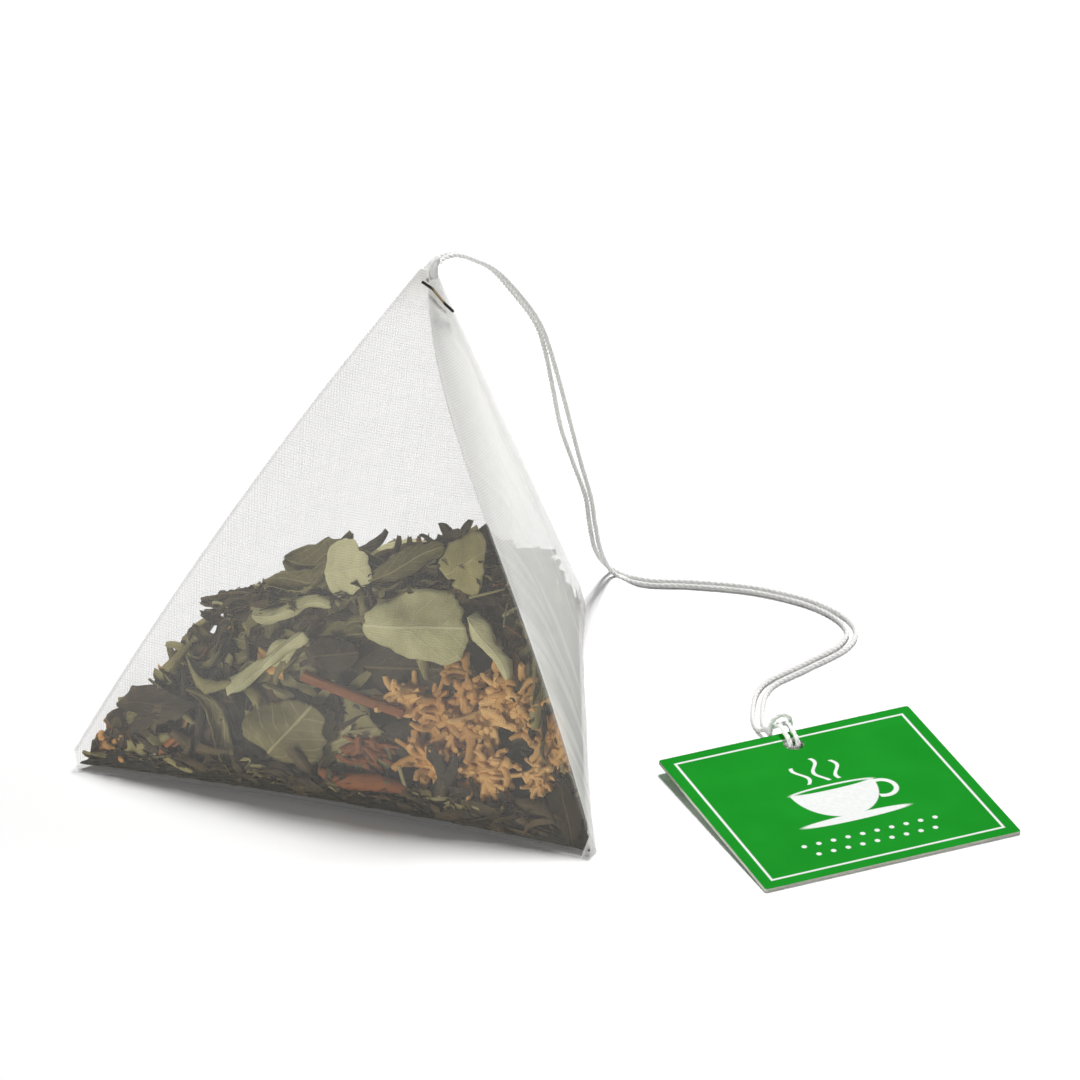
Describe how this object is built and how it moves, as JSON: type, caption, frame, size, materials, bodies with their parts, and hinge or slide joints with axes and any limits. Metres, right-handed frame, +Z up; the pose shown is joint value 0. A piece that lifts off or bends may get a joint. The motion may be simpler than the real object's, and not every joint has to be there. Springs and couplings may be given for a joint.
{
  "type": "pyramid tea bag",
  "caption": "Pyramid mesh tea bag standing on one face, filled with cut leaf, bark and florets, with a doubled thread to a square card tag.",
  "frame": {"origin": "on the table under the middle of the pouch's box, measured without the thread and the tag", "axes": "+Z up, +X to the right, where the thread and the tag lie, +Y away from the viewer"},
  "size_m": [0.0946, 0.0659, 0.0525],
  "materials": {
    "mesh_cloth": "fine see-through mesh",
    "white_cotton": "twisted white thread",
    "green_card": "satin printed card",
    "dark_wire": "dark fine wire",
    "dark_leaf": "dried leaf, matte",
    "green_leaf": "dried leaf, matte",
    "pale_leaf": "dried leaf, matte",
    "stem": "dry stem",
    "red_bark": "dry bark",
    "floret": "dried florets, matte"
  },
  "bodies": {
    "root": {"cut_leaf_bed": "dark_leaf", "dark_leaf_front_04": "dark_leaf", "dark_leaf_front_07": "dark_leaf", "dark_leaf_front_09": "dark_leaf", "dark_leaf_front_14": "dark_leaf", "dark_leaf_front_27": "dark_leaf", "dark_leaf_inner_01": "dark_leaf", "dark_leaf_inner_03": "dark_leaf", "dark_leaf_inner_05": "dark_leaf", "dark_leaf_rear_02": "dark_leaf", "dark_leaf_rear_09": "dark_leaf", "dark_leaf_right_02": "dark_leaf", "floret_front_01": "floret", "floret_front_21": "floret", "floret_front_22": "floret", "floret_front_23": "floret", "floret_front_24": "floret", "floret_front_25": "floret", "floret_rear_03": "floret", "floret_right_04": "floret", "green_leaf_front_03": "green_leaf", "green_leaf_front_05": "green_leaf", "green_leaf_front_08": "green_leaf", "green_leaf_front_16": "green_leaf", "green_leaf_front_18": "green_leaf", "green_leaf_front_19": "green_leaf", "green_leaf_inner_02": "green_leaf", "green_leaf_inner_04": "green_leaf", "green_leaf_rear_01": "green_leaf", "green_leaf_rear_06": "green_leaf", "green_leaf_rear_07": "green_leaf", "green_leaf_right_01": "green_leaf", "green_leaf_right_03": "green_leaf", "green_leaf_right_07": "green_leaf", "green_leaf_top_01": "green_leaf", "mesh_pouch": "mesh_cloth", "pale_leaf_front_06": "pale_leaf", "pale_leaf_front_10": "pale_leaf", "pale_leaf_front_15": "pale_leaf", "pale_leaf_front_17": "pale_leaf", "pale_leaf_front_20": "pale_leaf", "pale_leaf_rear_04": "pale_leaf", "pale_leaf_rear_08": "pale_leaf", "pale_leaf_right_05": "pale_leaf", "pale_leaf_right_06": "pale_leaf", "pale_leaf_top_02": "pale_leaf", "pale_leaf_top_03": "pale_leaf", "red_bark_front_02": "red_bark", "red_bark_front_11": "red_bark", "red_bark_front_12": "red_bark", "red_bark_front_13": "red_bark", "red_bark_rear_05": "red_bark", "stem_front_26": "stem", "tag": "green_card", "thread": "white_cotton", "tip_wire": "dark_wire"}
  },
  "joints": []
}
